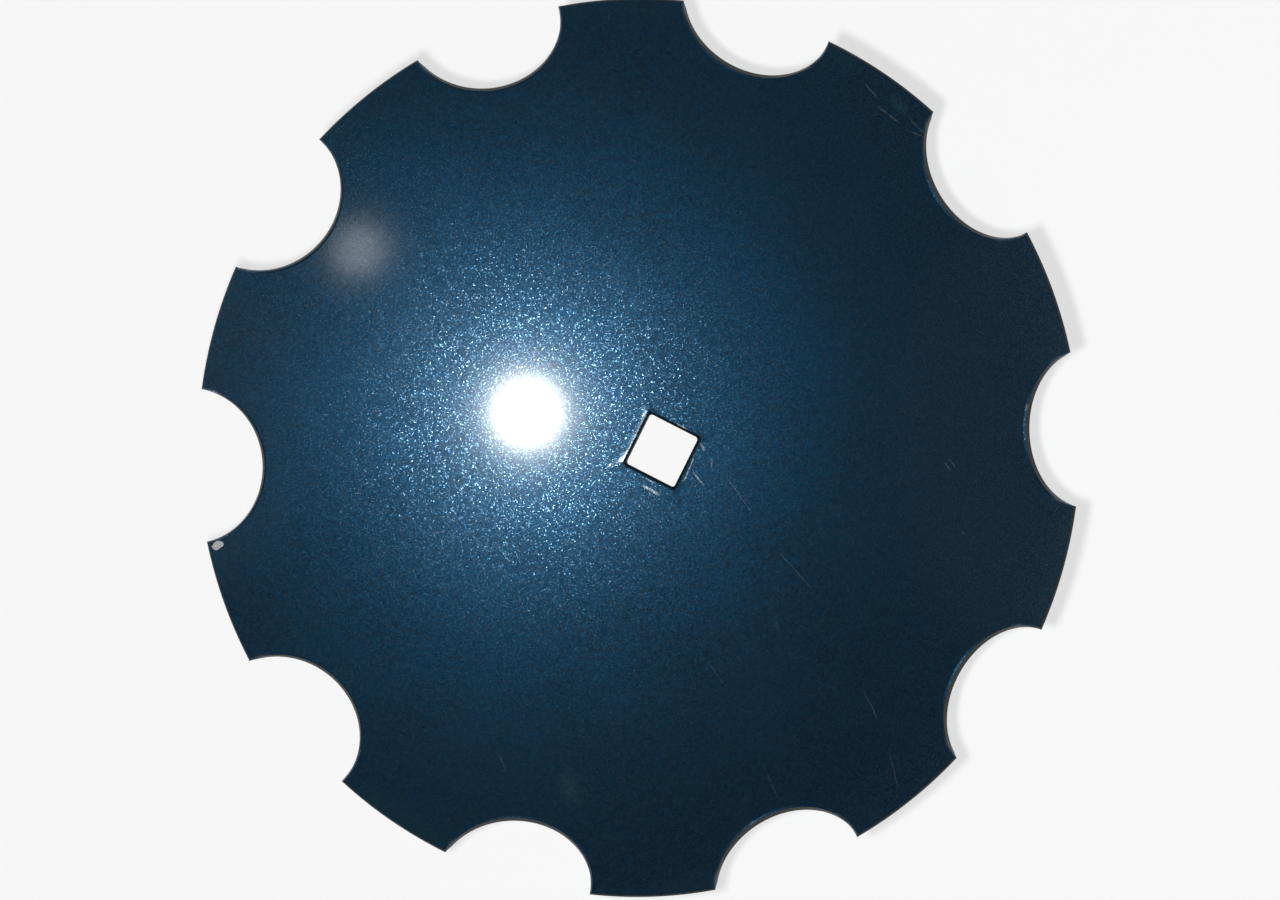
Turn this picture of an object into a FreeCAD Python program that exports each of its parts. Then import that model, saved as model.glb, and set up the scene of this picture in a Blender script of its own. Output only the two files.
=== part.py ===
"""Notched harrow disc blade: one dished steel plate with a square axle hole.

The blade lies on its back, hollow side up. +Z is the blade's axis, and the X and Y axes
are parallel to the sides of the square hole. The origin is at the bottom centre of the
blade's box, on the surface that the blade lies on. All sizes are in millimetres.
"""
import FreeCAD
import Part
import math
import os

# Plate
overall_diameter = 660.0        # across the tooth tips
dish_radius = 600.0             # radius of the hollow face
plate_thickness = 6.0

# Notches round the edge, punched square to the plate
notch_count = 10
notch_radius = 57.0             # of each round cut, along the hollow face
notch_depth = 51.4              # from the tooth tips to the notch bottom, along the face
first_notch_angle = 11.0        # from +X, in degrees
notch_lip = 1.2                 # edge rolled over where the punch went in, on the hollow face

# Sharpened edge of the teeth, ground on the back
bevel_width = 9.0               # along the back
edge_land = 2.0                 # blunt thickness left at the very edge, under the hollow face

# Square hole for the gang axle
hole_side = 41.0
hole_corner_radius = 2.5
hole_lip_radius = 1.5           # rounded lip on the hollow face

cutter_margin = 12.0            # how far each cutter stands out of the plate

back_radius = dish_radius + plate_thickness
land_radius = dish_radius + edge_land
rim_angle = math.asin(overall_diameter / 2 / land_radius)
centre_height = math.sqrt(back_radius ** 2 - (hole_side / 2) ** 2)

AXIS_UP = FreeCAD.Vector(0, 0, 1)
DISH_CENTRE = FreeCAD.Vector(0, 0, centre_height)


def point_in_section(radius, angle):
    """A point of the XZ section, by its distance and angle from the centre of the dish."""
    outward = FreeCAD.Vector(math.sin(angle), 0, -math.cos(angle))
    return DISH_CENTRE + outward * radius


def arc_in_section(radius, start_angle, end_angle):
    """An arc about the centre of the dish, in the XZ section."""
    start = point_in_section(radius, start_angle)
    middle = point_in_section(radius, (start_angle + end_angle) / 2)
    end = point_in_section(radius, end_angle)
    return Part.Arc(start, middle, end).toShape()


def line(start, end):
    return Part.LineSegment(start, end).toShape()


def revolve_section(edges):
    """Turn a closed section in the XZ plane about the blade's axis. The seam lies at the first notch."""
    section = Part.Face(Part.Wire(edges))
    section.rotate(DISH_CENTRE, AXIS_UP, first_notch_angle)
    return section.revolve(DISH_CENTRE, AXIS_UP, 360)


def make_dished_plate():
    """The round blade before punching: hollow face, blunt edge, bevel and back."""
    bevel_start = rim_angle - bevel_width / back_radius
    hollow_middle = point_in_section(dish_radius, 0)
    land_top = point_in_section(dish_radius, rim_angle)
    land_bottom = point_in_section(land_radius, rim_angle)
    bevel_bottom = point_in_section(back_radius, bevel_start)
    back_middle = point_in_section(back_radius, 0)
    edges = [
        arc_in_section(dish_radius, 0, rim_angle),
        line(land_top, land_bottom),
        line(land_bottom, bevel_bottom),
        arc_in_section(back_radius, bevel_start, 0),
        line(back_middle, hollow_middle),
    ]
    return revolve_section(edges)


def make_punch():
    """The notch's round punch, on the blade's axis: a wall square to the dished plate,
    which flares at 45 degrees where it meets the hollow face."""
    wall_angle = notch_radius / dish_radius
    flare_angle = wall_angle + 2 * notch_lip / dish_radius
    inside = dish_radius - cutter_margin
    outside = back_radius + cutter_margin
    corners = [
        point_in_section(inside, 0),
        point_in_section(inside, flare_angle),
        point_in_section(dish_radius - notch_lip, flare_angle),
        point_in_section(dish_radius + notch_lip, wall_angle),
        point_in_section(outside, wall_angle),
        point_in_section(outside, 0),
    ]
    edges = [line(start, end) for start, end in zip(corners, corners[1:] + corners[:1])]
    return revolve_section(edges)


def place_punches():
    """One punch for each notch, swung out about the dish's centre and round its axis."""
    rim_on_face = rim_angle * dish_radius
    swing = math.degrees((rim_on_face - notch_depth + notch_radius) / dish_radius)
    punch = make_punch()
    punch.rotate(DISH_CENTRE, FreeCAD.Vector(0, 1, 0), -swing)
    punches = []
    for number in range(notch_count):
        copy = punch.copy()
        copy.rotate(DISH_CENTRE, AXIS_UP, first_notch_angle + number * 360 / notch_count)
        punches.append(copy)
    return punches


def make_axle_cutter():
    """A square prism with rounded corners, for the axle hole."""
    height = plate_thickness + 2 * cutter_margin
    prism = Part.makeBox(hole_side, hole_side, height)
    prism.translate(FreeCAD.Vector(-hole_side / 2, -hole_side / 2, -cutter_margin))
    corners = [edge for edge in prism.Edges if edge.BoundBox.ZLength > height / 2]
    return prism.makeFillet(hole_corner_radius, corners)


def round_hole_lip(blade):
    """Round the hole's edge on the hollow face."""
    reach = hole_side
    lip = []
    for edge in blade.Edges:
        box = edge.BoundBox
        near_axis = max(abs(box.XMin), abs(box.XMax), abs(box.YMin), abs(box.YMax)) < reach
        if near_axis and box.ZMin > plate_thickness / 2:
            lip.append(edge)
    return blade.makeFillet(hole_lip_radius, lip)


def make_blade():
    plate = make_dished_plate()
    notched = plate.cut(place_punches())
    pierced = notched.cut(make_axle_cutter())
    return round_hole_lip(pierced)


def main():
    blade = make_blade()
    print("valid", blade.isValid(), "solids", len(blade.Solids), "volume", round(blade.Volume))
    print("box", blade.BoundBox)
    os.makedirs("parts", exist_ok=True)
    blade.Solids[0].exportStep("parts/disc_blade.step")


main()
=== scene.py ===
"""Notched disc blade of a harrow, with its lacquer, its worn edges and a plain studio round it.

Every size is in metres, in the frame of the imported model: the blade lies hollow side up on
z = 0, its axis is the Z axis, and the sides of its square hole follow X and Y.
"""
import math

import bpy
from bpy.props import (
    FloatProperty,
    FloatVectorProperty,
    IntProperty,
    PointerProperty,
)
from mathutils import Matrix, Vector


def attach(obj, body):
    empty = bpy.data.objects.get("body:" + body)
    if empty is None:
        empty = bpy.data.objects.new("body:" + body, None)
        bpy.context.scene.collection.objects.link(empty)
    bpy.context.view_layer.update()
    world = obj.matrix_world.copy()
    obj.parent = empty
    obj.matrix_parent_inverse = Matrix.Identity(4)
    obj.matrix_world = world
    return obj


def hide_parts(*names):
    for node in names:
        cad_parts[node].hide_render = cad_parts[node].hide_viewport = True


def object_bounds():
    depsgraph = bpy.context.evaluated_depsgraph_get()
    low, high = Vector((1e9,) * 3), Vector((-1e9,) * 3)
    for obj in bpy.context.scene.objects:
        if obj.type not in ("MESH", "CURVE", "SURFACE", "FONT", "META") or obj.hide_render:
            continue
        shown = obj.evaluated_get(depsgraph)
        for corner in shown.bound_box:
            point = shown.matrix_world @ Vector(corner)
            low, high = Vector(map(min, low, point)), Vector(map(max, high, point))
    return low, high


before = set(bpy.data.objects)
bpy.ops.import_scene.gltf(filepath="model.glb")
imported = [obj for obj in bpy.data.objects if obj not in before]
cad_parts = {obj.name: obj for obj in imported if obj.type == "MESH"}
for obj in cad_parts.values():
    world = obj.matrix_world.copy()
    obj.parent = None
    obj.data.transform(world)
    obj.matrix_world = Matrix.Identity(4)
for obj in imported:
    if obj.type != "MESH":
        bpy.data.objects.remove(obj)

bl_info = {
    "name": "Harrow disc blade",
    "version": (1, 0, 0),
    "blender": (4, 5, 0),
    "location": "3D View > Sidebar > Disc blade",
    "description": "Models and finishes a notched harrow disc blade",
    "category": "Add Mesh",
}

CAD_LOW, CAD_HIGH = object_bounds()
OVERALL_DIAMETER = CAD_HIGH[0] - CAD_LOW[0]

MM = 0.001
UP = Vector((0, 0, 1))


# ---------------------------------------------------------------- sizes and colours


class BladeSizes(bpy.types.PropertyGroup):
    """Sizes of the blade, as its plate is pressed, punched and ground."""

    diameter: FloatProperty(
        name="Diameter", description="Across the tooth tips",
        default=OVERALL_DIAMETER, unit="LENGTH")
    dish_radius: FloatProperty(
        name="Dish radius", description="Radius of the hollow face",
        default=0.6, unit="LENGTH")
    thickness: FloatProperty(
        name="Thickness", description="Thickness of the plate",
        default=0.006, unit="LENGTH")
    notch_count: IntProperty(
        name="Notches", description="Number of notches round the edge", default=10)
    notch_radius: FloatProperty(
        name="Notch radius", description="Radius of each round cut, along the hollow face",
        default=0.057, unit="LENGTH")
    notch_depth: FloatProperty(
        name="Notch depth", description="From the tooth tips to the bottom of a notch",
        default=0.0514, unit="LENGTH")
    first_notch: FloatProperty(
        name="First notch", description="Angle of the first notch from +X",
        default=math.radians(11), unit="ROTATION")
    notch_lip: FloatProperty(
        name="Notch lip", description="Flare of a notch where it meets the hollow face",
        default=0.0012, unit="LENGTH")
    bevel_width: FloatProperty(
        name="Bevel width", description="Ground bevel along the back",
        default=0.009, unit="LENGTH")
    edge_land: FloatProperty(
        name="Edge land", description="Blunt thickness left at the very edge",
        default=0.002, unit="LENGTH")
    hole_side: FloatProperty(
        name="Hole side", description="Side of the square axle hole",
        default=0.041, unit="LENGTH")
    hole_corner: FloatProperty(
        name="Hole corner", description="Corner radius of the square hole",
        default=0.0025, unit="LENGTH")
    hole_lip: FloatProperty(
        name="Hole lip", description="Rounded lip of the hole on the hollow face",
        default=0.0015, unit="LENGTH")
    hole_draw: FloatProperty(
        name="Hole draw", description="How far the punch drew the face down round the hole",
        default=0.0004, unit="LENGTH")
    hole_draw_width: FloatProperty(
        name="Draw width", description="Width of the drawn-down face round the hole",
        default=0.008, unit="LENGTH")


class BladeFinish(bpy.types.PropertyGroup):
    """Colours and gloss of the blade's finish."""

    lacquer: FloatVectorProperty(
        name="Lacquer", description="Thin blue lacquer over blasted steel",
        subtype="COLOR", size=3, default=(0.0025, 0.033, 0.073), min=0, max=1)
    flake_roughness: FloatProperty(
        name="Steel roughness", description="Roughness of the blasted steel under the lacquer",
        default=0.5, min=0, max=1)
    coat_roughness: FloatProperty(
        name="Lacquer roughness", description="Roughness of the lacquer's own surface",
        default=0.145, min=0, max=1)
    punched_steel: FloatVectorProperty(
        name="Punched steel", description="Thinly painted walls of the notches and the hole",
        subtype="COLOR", size=3, default=(0.03, 0.032, 0.027), min=0, max=1)
    # Bare steel of two chipped corners, painted bright as a highlight of the light they catch.
    bare_steel_glint: FloatVectorProperty(
        name="Bare steel", description="Steel where the lacquer has chipped away",
        subtype="COLOR", size=3, default=(0.55, 0.57, 0.58), min=0, max=1)
    sparkle: FloatVectorProperty(
        name="Sparkle", description="Facets of the blasted steel that catch the light",
        subtype="COLOR", size=3, default=(0.36, 0.49, 0.54), min=0, max=1)
    # Lighter band along the tooth edges: thin lacquer, and a painted sheen of the edge catching the
    # light.
    rim_wear_and_sheen: FloatVectorProperty(
        name="Worn rim", description="Thin lacquer along the edges of the teeth",
        subtype="COLOR", size=3, default=(0.02, 0.07, 0.10), min=0, max=1)
    scuff: FloatVectorProperty(
        name="Scuff", description="Rubbed patches of the lacquer",
        subtype="COLOR", size=3, default=(0.05, 0.16, 0.20), min=0, max=1)
    # Pale colour of real scratches, and of painted highlights in streaks round the square hole.
    scratch_and_glint: FloatVectorProperty(
        name="Scratch", description="Fine scratches in the lacquer",
        subtype="COLOR", size=3, default=(0.34, 0.42, 0.44), min=0, max=1)
    # Painted shade: a near-black colour laid all round the square hole's lip, where its rolled edge
    # is shaded.
    lip_painted_shade: FloatVectorProperty(
        name="Dark lip", description="Dull lip of the square hole",
        subtype="COLOR", size=3, default=(0.006, 0.009, 0.011), min=0, max=1)


class StudioSettings(bpy.types.PropertyGroup):
    """The plain studio: camera angle, lamps and floor."""

    camera_azimuth: FloatProperty(
        name="Camera azimuth", description="Direction from the blade to the camera, from +X",
        default=math.radians(-70.17), unit="ROTATION")
    camera_elevation: FloatProperty(
        name="Camera elevation", description="Height of the camera above the horizon",
        default=math.radians(79.02), unit="ROTATION")
    camera_roll: FloatProperty(
        name="Camera roll", description="Turn of the camera about its line of sight",
        default=math.radians(-83.03), unit="ROTATION")
    camera_distance: FloatProperty(
        name="Camera distance", description="From the blade's origin",
        default=13.0, unit="LENGTH")
    camera_shift: FloatVectorProperty(
        name="Camera shift", description="To the right and up, across the line of sight",
        default=(-0.0169, 0.0005), size=2, unit="LENGTH")
    focal_length: FloatProperty(
        name="Focal length", description="In millimetres, on a 36 mm sensor",
        default=494.2)
    floor_colour: FloatVectorProperty(
        name="Floor", description="Pale studio floor",
        subtype="COLOR", size=3, default=(0.86, 0.86, 0.86), min=0, max=1)
    key_power: FloatProperty(
        name="Key lamp", description="Power of the round lamp above the blade, in watts",
        default=205.0, min=0)
    small_power: FloatProperty(
        name="Small lamp", description="Power of the small round lamp, in watts",
        default=3.2, min=0)
    panel_power: FloatProperty(
        name="Side panels", description="Power of each wide side panel, in watts",
        default=2.4, min=0)
    horizon: FloatProperty(
        name="Horizon", description="Brightness of the room just above the floor",
        default=0.95, min=0)
    overhead: FloatProperty(
        name="Overhead", description="Brightness of the room above the blade",
        default=0.05, min=0)


# ---------------------------------------------------------------- modelling helpers


def clear_selection():
    if bpy.context.object is not None and bpy.context.object.mode != "OBJECT":
        bpy.ops.object.mode_set(mode="OBJECT")
    bpy.ops.object.select_all(action="DESELECT")


def edit(piece):
    """Opens a piece in edit mode, alone."""
    clear_selection()
    piece.select_set(True)
    bpy.context.view_layer.objects.active = piece
    bpy.ops.object.mode_set(mode="EDIT")


def select_vertices(piece, wanted):
    """Selects the vertices of the piece in edit mode whose place passes the test."""
    bpy.ops.object.mode_set(mode="OBJECT")
    mesh = piece.data
    for part in (mesh.polygons, mesh.edges):
        part.foreach_set("select", [False] * len(part))
    mesh.vertices.foreach_set("select", [wanted(v.co) for v in mesh.vertices])
    bpy.ops.object.mode_set(mode="EDIT")
    bpy.ops.mesh.select_mode(type="VERT")


def select_edges(piece, wanted):
    """Selects the edges of the piece in edit mode whose two ends pass the test."""
    bpy.ops.mesh.select_mode(type="EDGE")
    bpy.ops.mesh.select_all(action="DESELECT")
    bpy.ops.object.mode_set(mode="OBJECT")
    places = [vertex.co for vertex in piece.data.vertices]
    for edge in piece.data.edges:
        edge.select = wanted(*(places[end] for end in edge.vertices))
    bpy.ops.object.mode_set(mode="EDIT")


def move(offset):
    bpy.ops.transform.translate(value=offset)


def extrude(offset):
    bpy.ops.mesh.extrude_region_move(TRANSFORM_OT_translate={"value": offset})


def cut_away(piece, cutter):
    """Takes the cutter's shape out of the piece with an applied Boolean, and removes the cutter."""
    clear_selection()
    piece.select_set(True)
    bpy.context.view_layer.objects.active = piece
    cut = piece.modifiers.new("Cut", "BOOLEAN")
    cut.operation = "DIFFERENCE"
    cut.solver = "EXACT"
    cut.object = cutter
    before = len(piece.data.polygons)
    bpy.ops.object.modifier_apply(modifier=cut.name)
    bpy.data.objects.remove(cutter)
    if len(piece.data.polygons) in (0, before):
        raise RuntimeError("the cutter left the piece as it was")


# ---------------------------------------------------------------- the blade's shape


class BladeShape:
    """Measures of the blade that follow from its named sizes."""

    def __init__(self, sizes):
        self.sizes = sizes
        self.hollow = sizes.dish_radius
        self.back = sizes.dish_radius + sizes.thickness
        self.land = sizes.dish_radius + sizes.edge_land
        self.rim_angle = math.asin(sizes.diameter / 2 / self.land)
        self.centre_height = math.sqrt(self.back ** 2 - (sizes.hole_side / 2) ** 2)
        self.centre = Vector((0, 0, self.centre_height))

    def on_section(self, radius, angle):
        """A point of the XZ section, by its distance and angle from the dish's centre."""
        return self.centre + radius * Vector((math.sin(angle), 0, -math.cos(angle)))


def make_plate(shape, ring_step=0.0054, turns=360):
    """The dished plate: its section is drawn by spinning a point, then turned round the axis."""
    sizes = shape.sizes
    bevel_start = shape.rim_angle - sizes.bevel_width / shape.back
    rings = round(shape.rim_angle * shape.hollow / ring_step)
    bpy.ops.mesh.primitive_plane_add(size=0.001, location=(0, 0, 0))
    plate = bpy.context.object
    plate.name = "blade"
    edit(plate)
    bpy.ops.mesh.select_all(action="SELECT")
    bpy.ops.mesh.merge(type="CENTER")
    move(shape.on_section(shape.hollow, 0))
    bpy.ops.mesh.spin(
        steps=rings, angle=shape.rim_angle, center=shape.centre, axis=(0, 1, 0))
    land_top = shape.on_section(shape.hollow, shape.rim_angle)
    land_bottom = shape.on_section(shape.land, shape.rim_angle)
    bevel_bottom = shape.on_section(shape.back, bevel_start)
    extrude(land_bottom - land_top)
    for _ in range(2):
        extrude((bevel_bottom - land_bottom) / 2)
    bpy.ops.mesh.spin(
        steps=rings, angle=bevel_start, center=shape.centre, axis=(0, -1, 0))
    bpy.ops.mesh.select_all(action="SELECT")
    bpy.ops.mesh.spin(
        steps=turns, angle=2 * math.pi, center=(0, 0, 0), axis=(0, 0, 1))
    bpy.ops.mesh.select_all(action="SELECT")
    bpy.ops.mesh.remove_doubles(threshold=1e-6)
    bpy.ops.mesh.normals_make_consistent(inside=False)
    bpy.ops.object.mode_set(mode="OBJECT")
    return plate


def make_notch_cutters(shape, margin=0.012, sides=160):
    """The round punches of all the notches, joined; each stands square to the plate and flares."""
    sizes = shape.sizes
    wall = sizes.notch_radius / shape.hollow
    flare = wall + 2 * sizes.notch_lip / shape.hollow
    outer = shape.on_section(shape.back + margin, wall)
    lip_bottom = shape.on_section(shape.hollow + sizes.notch_lip, wall)
    lip_top = shape.on_section(shape.hollow - sizes.notch_lip, flare)
    inner = shape.on_section(shape.hollow - margin, flare)
    rim_along_face = shape.rim_angle * shape.hollow
    swing = (rim_along_face - sizes.notch_depth + sizes.notch_radius) / shape.hollow

    clear_selection()
    bpy.ops.mesh.primitive_cone_add(
        vertices=sides, radius1=outer.x, radius2=lip_bottom.x,
        depth=lip_bottom.z - outer.z, location=(0, 0, (lip_bottom.z + outer.z) / 2))
    punch = bpy.context.object
    bpy.ops.object.transform_apply(location=True, rotation=True, scale=True)
    edit(punch)
    select_vertices(punch, lambda place: place.z > lip_bottom.z - 1e-5)
    below = lip_bottom
    for ring in (lip_top, inner):
        extrude((0, 0, ring.z - below.z))
        widen = ring.x / below.x
        bpy.ops.transform.resize(
            value=(widen, widen, 1), center_override=(0, 0, ring.z))
        below = ring
    bpy.ops.object.mode_set(mode="OBJECT")

    about_centre = Matrix.Translation(shape.centre)
    copies = []
    for number in range(sizes.notch_count):
        clear_selection()
        copy = punch.copy()
        copy.data = punch.data.copy()
        bpy.context.collection.objects.link(copy)
        round_axis = sizes.first_notch + number * 2 * math.pi / sizes.notch_count
        copy.matrix_world = (
            about_centre
            @ Matrix.Rotation(round_axis, 4, "Z")
            @ Matrix.Rotation(-swing, 4, "Y")
            @ about_centre.inverted()
        )
        copies.append(copy)
    bpy.data.objects.remove(punch)
    clear_selection()
    for copy in copies:
        copy.select_set(True)
    bpy.context.view_layer.objects.active = copies[0]
    bpy.ops.object.join()
    bpy.ops.object.transform_apply(location=True, rotation=True, scale=True)
    return bpy.context.object


def make_hole_cutter(shape, margin=0.012, lip_steps=6, draw_steps=8):
    """A square prism with rounded corners, which opens into the hole's rounded, drawn-in lip.

    It is shaped against a flat plate and then laid on the dish, so the lip is even all round."""
    sizes = shape.sizes
    half = sizes.hole_side / 2
    level = -sizes.hole_lip - sizes.hole_draw
    clear_selection()
    bpy.ops.mesh.primitive_cube_add(
        size=1, location=(0, 0, -(margin + sizes.thickness - level) / 2),
        scale=(2 * half, 2 * half, margin + sizes.thickness + level))
    cutter = bpy.context.object
    bpy.ops.object.transform_apply(location=True, rotation=True, scale=True)
    edit(cutter)
    select_edges(cutter, lambda start, end: abs(start.z - end.z) > margin / 2)
    bpy.ops.mesh.bevel(offset=sizes.hole_corner, segments=8, affect="EDGES")
    select_vertices(cutter, lambda place: place.z > level - 1e-5)
    rings = []
    for step in range(1, lip_steps):
        turn = step / lip_steps * math.pi / 2
        rings.append((
            half + sizes.hole_lip * (1 - math.cos(turn)),
            level + sizes.hole_lip * math.sin(turn),
        ))
    lip_out, lip_level = rings[-1]
    for step in range(1, draw_steps + 1):
        share = step / draw_steps
        rings.append((
            lip_out + sizes.hole_draw_width * share,
            lip_level * (1 - share) ** 2,
        ))
    rings.append((rings[-1][0] + margin, margin * 0.2))
    rings.append((rings[-1][0], 2 * margin))
    for ring_half, ring_level in rings:
        extrude((0, 0, ring_level - level))
        widen = ring_half / half
        bpy.ops.transform.resize(
            value=(widen, widen, 1), center_override=(0, 0, ring_level))
        half, level = ring_half, ring_level
    bpy.ops.object.mode_set(mode="OBJECT")
    for vertex in cutter.data.vertices:
        across = math.hypot(vertex.co.x, vertex.co.y)
        vertex.co.z += shape.centre_height - math.sqrt(shape.hollow ** 2 - across ** 2)
    return cutter


# ---------------------------------------------------------------- shader arithmetic


class Wire:
    """A shader socket that takes part in plain arithmetic; each operation adds a Math node."""

    def __init__(self, shader, socket):
        self.shader, self.socket = shader, socket

    def math(self, operation, *others):
        return self.shader.add(
            "Math", {"operation": operation}, dict(enumerate((self,) + others)))

    def __add__(self, other):
        return self.math("ADD", other)

    def __mul__(self, other):
        return self.math("MULTIPLY", other)

    def __sub__(self, other):
        return self.math("SUBTRACT", other)

    def __rsub__(self, other):
        return self.shader.add("Math", {"operation": "SUBTRACT"}, {0: other, 1: self})

    def __pow__(self, other):
        return self.math("POWER", other)

    def __abs__(self):
        return self.math("ABSOLUTE")

    __radd__, __rmul__ = __add__, __mul__

    def either(self, other):
        return self.math("MAXIMUM", other)

    def rise(self, low, high):
        """0 below low, 1 above high, and smooth between; high under low turns it round."""
        return self.shader.add(
            "MapRange", {"interpolation_type": "SMOOTHSTEP"},
            {"Value": self, "From Min": low, "From Max": high})


class Shader:
    """The node tree of one finish."""

    def __init__(self, tree):
        self.tree = tree
        tree.nodes.clear()

    def add(self, kind, settings=None, sockets=None, output=0):
        """Adds a node: first its settings, then its sockets by name or number. Gives one output."""
        node = self.tree.nodes.new("ShaderNode" + kind)
        for name, value in (settings or {}).items():
            setattr(node, name, value)
        for name, value in (sockets or {}).items():
            socket = node.inputs[name]
            if isinstance(value, Wire):
                self.tree.links.new(value.socket, socket)
            else:
                socket.default_value = value
        return Wire(self, node.outputs[output]) if node.outputs else node

    def blend_colours(self, factor, first, second):
        """The first colour where the factor is 0, the second where it is 1."""
        return self.add(
            "Mix", {"data_type": "RGBA"}, {0: factor, 6: first, 7: second}, output=2)


# ---------------------------------------------------------------- the finish

# Grain of the finish, in repeats per metre.
FACET_SCALE = 1900.0
MOTTLE_SCALE = 300.0
CLOUD_SCALE = 11.0
STRAY_SCALE = 45.0

FACET_TILT = 0.22               # spread of the facets' normals
STRAY = 3 * MM                  # how far a mark strays from its straight line
LIP_FADE = 1.2 * MM             # width over which the painted shade on the hole's lip fades out
RIM_WEAR_AND_SHEEN = (0.3185, 0.3195)     # radii between which the rim's wear and painted sheen set in

# Marks of handling on the hollow face, and painted highlights, in millimetres on the blade's own X
# and Y:
# middle x, middle y, length, width, direction in degrees, strength.
SCRATCHES_AND_GLINTS = (
    # round the square hole: painted highlights, where the drawn-in face beside each side catches
    # the light
    (24.4, -4.3, 12, 1.8, -91, 0.8),
    (18, -25, 8, 2.2, -129, 0.7),
    (-1, -23, 27, 1.0, -177, 1.0),
    (-5, -33, 16, 1.8, -115, 0.6),
    (10, -37.5, 8, 1.3, -153, 0.4),
    (-28.5, -5, 17, 2.6, -94, 0.8),
    (-22.5, -1, 9, 1.2, -94, 0.6),
    # long light scratches over the face
    (-1, -66.5, 38, 0.8, -116, 0.30),
    (-31, -131, 44, 0.8, -110, 0.25),
    (-125, -114.5, 22, 0.8, -114, 0.22),
    (-92, -234, 32, 0.9, -123, 0.42),
    (-125, -275, 34, 0.9, -133, 0.35),
    (-177, -196, 30, 0.8, -126, 0.25),
    (-253, -6, 19, 0.9, -128, 0.25),
    (90, -203, 10, 0.9, -115, 0.5),
    (94, -205, 10, 0.9, -115, 0.45),
    (52, -236, 4, 1.0, -124, 0.4),
    # scuffs on the tooth beside the first notch
    (313, -35, 15, 1.3, -111, 0.45),
    (303, -53, 27, 1.1, -103, 0.5),
    (299, -78, 18, 1.0, -86, 0.45),
    (305, -77, 20, 1.0, -110, 0.4),
)
SCUFFS = (
    (313, -59, 22, 12, -110, 0.5),
    (-74, -139, 26, 6, -132, 0.22),
    (-87, -162, 16, 5, -97, 0.22),
    (-195, -181, 12, 8, -96, 0.2),
    (-247, -61, 44, 26, -123, 0.3),
)
# Lacquer knocked off at two tooth corners, down to bare steel, painted bright as a highlight.
CHIP_GLINTS = (
    (-106, 303.5, 15, 7, -92, 1.0),
    (-204.5, 250.5, 13, 9, -32, 1.0),
)


def opaque(colour):
    return (*colour, 1.0)


def streaks(shader, place, marks, edge):
    """A mask of straight marks on the XY plane; edge is the share of each that fades out."""
    mask = None
    for x, y, length, width, direction, strength in marks:
        turn = math.radians(direction)
        distances = []
        for axis in ((math.cos(turn), math.sin(turn), 0), (-math.sin(turn), math.cos(turn), 0)):
            reach = shader.add(
                "VectorMath", {"operation": "DOT_PRODUCT"}, {0: place, 1: axis}, output="Value")
            distances.append(abs(reach - (x * axis[0] + y * axis[1]) * MM))
        along = distances[0].rise(length / 2 * MM, length / 2 * (1 - edge) * MM)
        across = distances[1].rise(width / 2 * MM, width / 2 * (1 - edge) * MM)
        mark = along * across * strength
        mask = mark if mask is None else mask.either(mark)
    return mask


def handling_marks_and_glints(shader, place, mottle):
    """Masks of the scratches, the scuffs and the chips, which stray and break up a little; the
    streaks round the hole are painted highlights, and the chips bare steel painted bright as
    highlights.
    """
    stray = shader.add(
        "TexNoise", {}, {"Vector": place, "Scale": STRAY_SCALE, "Detail": 1.0}, output="Color")
    strayed = shader.add(
        "VectorMath", {"operation": "MULTIPLY_ADD"}, {0: stray, 1: (STRAY, STRAY, 0), 2: place})
    broken = mottle.rise(0.3, 0.62)
    scratched_and_glint = streaks(shader, strayed, SCRATCHES_AND_GLINTS, 0.6) * (0.35 + 0.65 * broken)
    scuffed = streaks(shader, strayed, SCUFFS, 0.9) * (0.3 + 0.7 * broken)
    chip_and_glint = streaks(shader, strayed, CHIP_GLINTS, 0.9)
    chip_and_glint = (chip_and_glint + (mottle - 0.5) * 0.8).rise(0.3, 0.42)
    return scratched_and_glint, scuffed, chip_and_glint


def hole_lip_shade_mask(shader, place, sizes):
    """1 on the lip of the square hole, where painted shade goes, and 0 past a narrow fade round it.
    """
    lip_out = sizes.hole_side / 2 + sizes.hole_lip
    sideways = shader.add("SeparateXYZ", {}, {0: place}, output="X")
    lengthways = shader.add("SeparateXYZ", {}, {0: place}, output="Y")
    return (
        abs(sideways).rise(lip_out + LIP_FADE, lip_out)
        * abs(lengthways).rise(lip_out + LIP_FADE, lip_out)
    )


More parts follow.
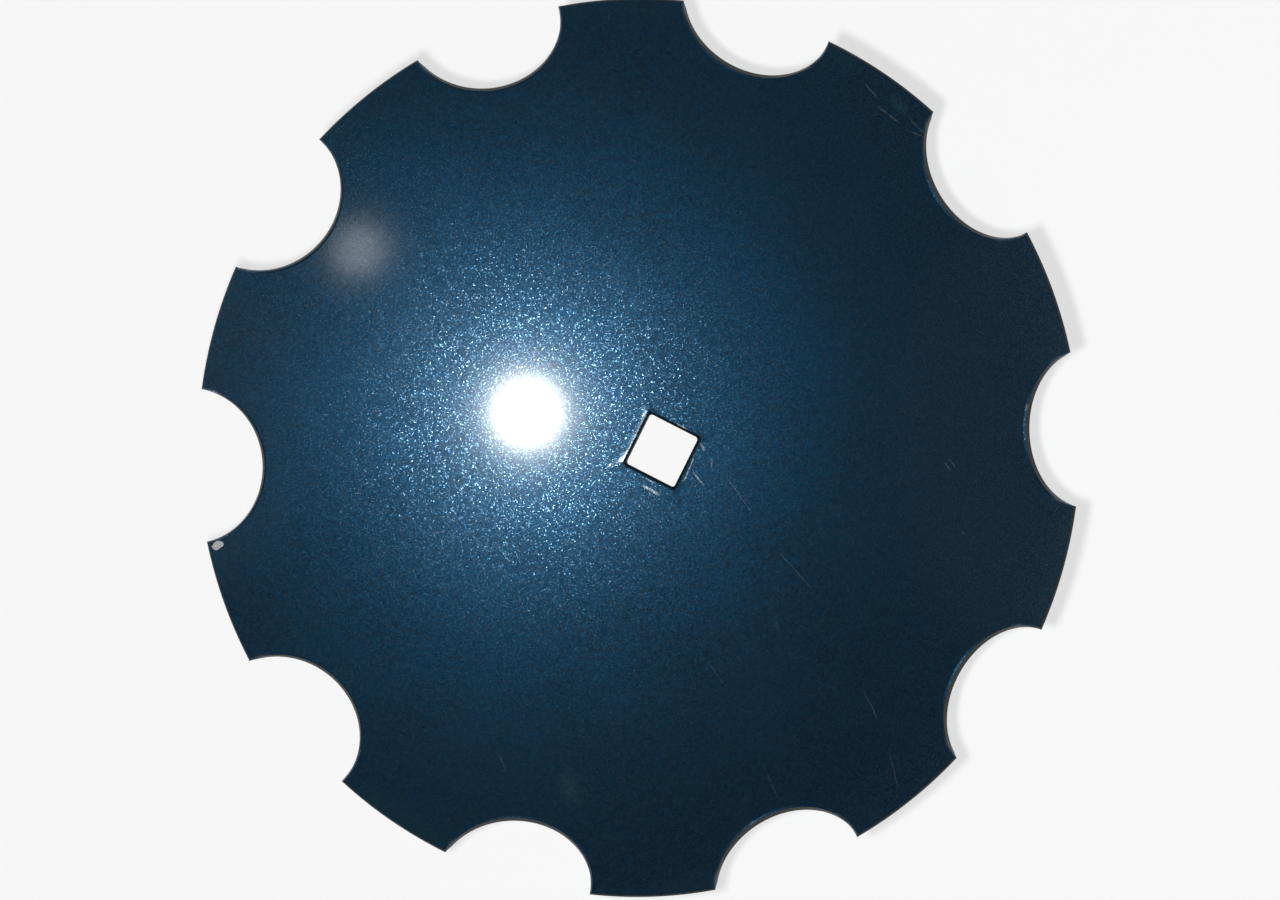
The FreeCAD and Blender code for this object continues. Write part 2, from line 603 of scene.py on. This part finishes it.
def lacquer_finish(name, finish, shape):
    """Thin dark blue lacquer over blasted steel, thin along the rim and marked by handling, with
    painted sheen on the rim, painted highlights by the hole and on two chips, and painted shade on
    the hole's lip.
    """
    material = bpy.data.materials.new(name)
    material.use_nodes = True
    shader = Shader(material.node_tree)
    place = shader.add("TexCoord", output="Object")
    normal = shader.add("NewGeometry", output="Normal")

    # -1 on the hollow face, +1 on the back; walls and the blunt edge stand square to both.
    to_centre = shader.add("VectorMath", {"operation": "SUBTRACT"}, {0: place, 1: shape.centre})
    to_centre = shader.add("VectorMath", {"operation": "NORMALIZE"}, {0: to_centre})
    facing = shader.add(
        "VectorMath", {"operation": "DOT_PRODUCT"}, {0: to_centre, 1: normal}, output="Value")
    wall = abs(facing).rise(0.62, 0.5)
    hollow_face = facing.rise(-0.6, -0.8)

    # Blasted steel: small facets, each tilted its own way; a few are bright.
    facets = shader.add(
        "TexVoronoi", {"feature": "F1"}, {"Vector": place, "Scale": FACET_SCALE}, output="Color")
    chance = shader.add("SeparateColor", {}, {0: facets}, output="Blue")
    grain = shader.add("SeparateColor", {}, {0: facets}, output="Green")
    bright = (chance ** 3.5) * (1.0 - wall)
    tilt = shader.add(
        "VectorMath", {"operation": "MULTIPLY_ADD"},
        {0: facets, 1: (FACET_TILT, FACET_TILT, 0), 2: (-FACET_TILT / 2, -FACET_TILT / 2, 0)})
    flaked = shader.add("VectorMath", {"operation": "ADD"}, {0: normal, 1: tilt})
    flaked = shader.add("VectorMath", {"operation": "NORMALIZE"}, {0: flaked})

    # Uneven lacquer, thinner along the rim with a painted sheen there, with its marks and painted
    # highlights.
    mottle = shader.add(
        "TexNoise", {}, {"Vector": place, "Scale": MOTTLE_SCALE, "Detail": 3.0, "Roughness": 0.6})
    cloud = shader.add(
        "TexNoise", {}, {"Vector": place, "Scale": CLOUD_SCALE, "Detail": 4.0, "Roughness": 0.55})
    scratched_and_glint, scuffed, chip_and_glint = (
        mask * hollow_face for mask in handling_marks_and_glints(shader, place, mottle))
    across = shader.add("VectorMath", {"operation": "MULTIPLY"}, {0: place, 1: (1, 1, 0)})
    radius = shader.add("VectorMath", {"operation": "LENGTH"}, {0: across}, output="Value")
    # Lighter band along the tooth edges: thin lacquer, and a painted sheen.
    rim = radius.rise(*RIM_WEAR_AND_SHEEN) * hollow_face * cloud.rise(0.42, 0.62)
    # The hole's lip gets painted shade: a near-black colour and less lacquer gloss; the walls are
    # less glossy in their own right.
    lip = hole_lip_shade_mask(shader, place, shape.sizes)
    dull = (wall * 0.65).either(lip * 0.9)

    lacquer = Vector(finish.lacquer)
    colour = shader.blend_colours(
        cloud.rise(0.3, 0.7), opaque(lacquer * 0.8), opaque(lacquer * 1.2))
    for share, over in (
        (mottle.rise(0.3, 0.7), lacquer * 1.4),
        (bright * 0.17, finish.sparkle),
        # rim band: thin lacquer, and a painted sheen
        (rim * 0.35, finish.rim_wear_and_sheen),
        (scuffed, finish.scuff),
        # scratches, and painted highlights in streaks round the hole
        (scratched_and_glint, finish.scratch_and_glint),
        # chips: bare steel, painted bright as a highlight
        (chip_and_glint, finish.bare_steel_glint),
        # painted shade on the hole's lip
        (lip * 0.85, finish.lip_painted_shade),
        (wall, finish.punched_steel),
    ):
        colour = shader.blend_colours(share, colour, opaque(over))

    surface = shader.add(
        "BsdfPrincipled", {},
        {
            "Base Color": colour,
            # the chips, painted bright as a highlight, are less metallic
            "Metallic": 0.84 - wall * 0.5 - chip_and_glint * 0.34,
            "Roughness": finish.flake_roughness - bright.rise(0.1, 0.6) * 0.26,
            "Specular IOR Level": 0.0,
            "Normal": flaked,
            "Coat Weight": (0.6 + 0.4 * grain) * (1.0 - dull),
            "Coat Roughness": finish.coat_roughness,
        })
    shader.add("OutputMaterial", {}, {"Surface": surface})
    return material


# ---------------------------------------------------------------- operators


class DISC_OT_blade(bpy.types.Operator):
    """Models the blade: dished plate, notches, ground edge and square hole, with its finish"""

    bl_idname = "disc.blade"
    bl_label = "Blade"

    def execute(self, context):
        shape = BladeShape(context.scene.blade_sizes)
        blade = make_plate(shape)
        cut_away(blade, make_notch_cutters(shape))
        cut_away(blade, make_hole_cutter(shape))
        clear_selection()
        blade.select_set(True)
        context.view_layer.objects.active = blade
        bpy.ops.object.shade_smooth_by_angle(angle=math.radians(24))
        blade.data.materials.append(
            lacquer_finish("blade_lacquer", context.scene.blade_finish, shape))
        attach(blade, "root")
        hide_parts("disc_blade")
        return {"FINISHED"}


SELF_LIT = 0.7      # share of the floor's own light, where the floor is seen


def floor_finish(colour):
    """Pale matt paper, partly self-lit where it is seen, so that it stays pale."""
    material = bpy.data.materials.new("floor_paper")
    material.use_nodes = True
    shader = Shader(material.node_tree)
    paper = shader.add("BsdfPrincipled", {}, {"Base Color": opaque(colour), "Roughness": 0.9})
    glow = shader.add("Emission", {}, {"Color": (1, 1, 1, 1), "Strength": 1.0})
    seen = shader.add("LightPath", output="Is Camera Ray")
    mirrored = shader.add("LightPath", output="Is Glossy Ray")
    through = shader.add("LightPath", output="Is Transmission Ray")
    floor = shader.add(
        "MixShader", {}, {0: (seen + mirrored + through) * SELF_LIT, 1: paper, 2: glow})
    shader.add("OutputMaterial", {}, {"Surface": floor})
    return material


def add_lamp(name, aim, azimuth, elevation, distance, size, power):
    """A round soft lamp that faces the point aim."""
    azimuth, elevation = math.radians(azimuth), math.radians(elevation)
    towards = Vector((
        math.cos(elevation) * math.cos(azimuth),
        math.cos(elevation) * math.sin(azimuth),
        math.sin(elevation),
    ))
    bpy.ops.object.light_add(type="AREA", location=Vector(aim) + towards * distance)
    lamp = bpy.context.object
    lamp.name = name
    lamp.rotation_euler = towards.to_track_quat("Z", "Y").to_euler()
    lamp.data.shape = "DISK"
    lamp.data.size = size
    lamp.data.energy = power


class DISC_OT_studio(bpy.types.Operator):
    """Sets the pale floor, the soft lamps, the surroundings and the camera"""

    bl_idname = "disc.studio"
    bl_label = "Studio"

    def execute(self, context):
        studio = context.scene.studio_settings
        clear_selection()
        bpy.ops.mesh.primitive_circle_add(
            vertices=96, radius=16.0, fill_type="NGON", location=(0, 0, 0))
        floor = context.object
        floor.name = "floor"
        floor.data.materials.append(floor_finish(studio.floor_colour))

        # Each lamp: name, point it faces, azimuth, elevation, distance, diameter, watts.
        blade_middle = (0, 0, 0.05)
        for lamp in (
            ("key_lamp", (-0.0195, 0.1015, 0.0146), -90.1, 81.2, 5.0, 0.36, studio.key_power),
            ("small_lamp", (0.0335, 0.258, 0.065), -105.0, 49.0, 4.0, 0.44, studio.small_power),
            ("left_panel", blade_middle, -65.0, 36.0, 4.5, 3.2, studio.panel_power),
            ("right_panel", blade_middle, 117.0, 25.0, 4.5, 3.6, studio.panel_power),
        ):
            add_lamp(*lamp)

        world = bpy.data.worlds.new("studio")
        context.scene.world = world
        world.use_nodes = True
        shader = Shader(world.node_tree)
        direction = shader.add("TexCoord", output="Generated")
        height = shader.add("SeparateXYZ", {}, {0: direction}, output="Z")
        room = shader.blend_colours(
            height.rise(0.04, 0.2), opaque((studio.horizon,) * 3), opaque((studio.overhead,) * 3))
        light = shader.add("Background", {}, {"Color": room, "Strength": 1.0})
        shader.add("OutputWorld", {}, {"Surface": light})

        azimuth, elevation, roll = (
            studio.camera_azimuth, studio.camera_elevation, studio.camera_roll)
        back = Vector((
            math.cos(elevation) * math.cos(azimuth),
            math.cos(elevation) * math.sin(azimuth),
            math.sin(elevation),
        ))
        level_up = (UP - back * back.z).normalized()
        level_right = level_up.cross(back)
        right = math.cos(roll) * level_right + math.sin(roll) * level_up
        up = back.cross(right)
        shift_right, shift_up = studio.camera_shift
        place = back * studio.camera_distance + shift_right * right + shift_up * up
        bpy.ops.object.camera_add()
        camera = context.object
        camera.name = "camera"
        camera.matrix_world = Matrix((
            (right.x, up.x, back.x, place.x),
            (right.y, up.y, back.y, place.y),
            (right.z, up.z, back.z, place.z),
            (0, 0, 0, 1),
        ))
        camera.data.sensor_width = 36.0
        camera.data.lens = studio.focal_length
        camera.data.clip_end = 200.0
        context.scene.camera = camera
        context.scene.view_settings.view_transform = "Standard"
        return {"FINISHED"}


class DISC_PT_panel(bpy.types.Panel):
    """The blade's steps, in the sidebar of the 3D view"""

    bl_idname = "DISC_PT_panel"
    bl_label = "Disc blade"
    bl_space_type = "VIEW_3D"
    bl_region_type = "UI"
    bl_category = "Disc blade"

    def draw(self, context):
        for step in (DISC_OT_blade, DISC_OT_studio):
            self.layout.operator(step.bl_idname)


CLASSES = (BladeSizes, BladeFinish, StudioSettings, DISC_OT_blade, DISC_OT_studio, DISC_PT_panel)


def register():
    for item in CLASSES:
        bpy.utils.register_class(item)
    bpy.types.Scene.blade_sizes = PointerProperty(type=BladeSizes)
    bpy.types.Scene.blade_finish = PointerProperty(type=BladeFinish)
    bpy.types.Scene.studio_settings = PointerProperty(type=StudioSettings)


def unregister():
    del bpy.types.Scene.studio_settings
    del bpy.types.Scene.blade_finish
    del bpy.types.Scene.blade_sizes
    for item in reversed(CLASSES):
        bpy.utils.unregister_class(item)


def main():
    register()
    bpy.ops.disc.blade()
    bpy.ops.disc.studio()


if __name__ == "__main__":
    main()
